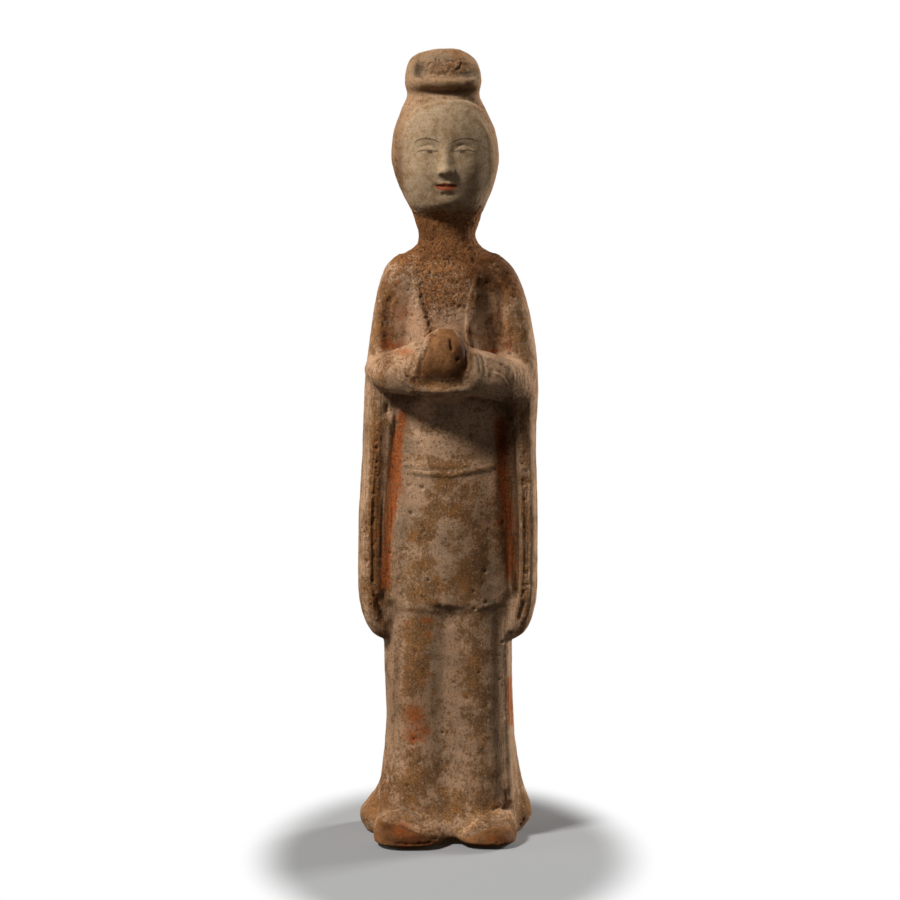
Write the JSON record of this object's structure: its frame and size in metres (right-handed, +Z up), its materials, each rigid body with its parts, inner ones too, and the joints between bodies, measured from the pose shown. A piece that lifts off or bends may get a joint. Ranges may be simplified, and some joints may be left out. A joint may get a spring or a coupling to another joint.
{
  "type": "standing figure",
  "caption": "Standing attendant of moulded, painted earthenware with clasped hands, long hanging sleeves, apron, skirt and hair bun",
  "frame": {"origin": "centre of the bounding box, on the underside", "axes": "+Z up along the figure's height, -Y the way the face looks, +X to the right as seen from the front"},
  "size_m": [0.0684, 0.056, 0.3],
  "materials": {
    "painted_earthenware": "unglazed reddish-brown earthenware with worn pale slip and traces of red-orange paint"
  },
  "bodies": {
    "root": {"standing_attendant": "painted_earthenware"}
  },
  "joints": []
}
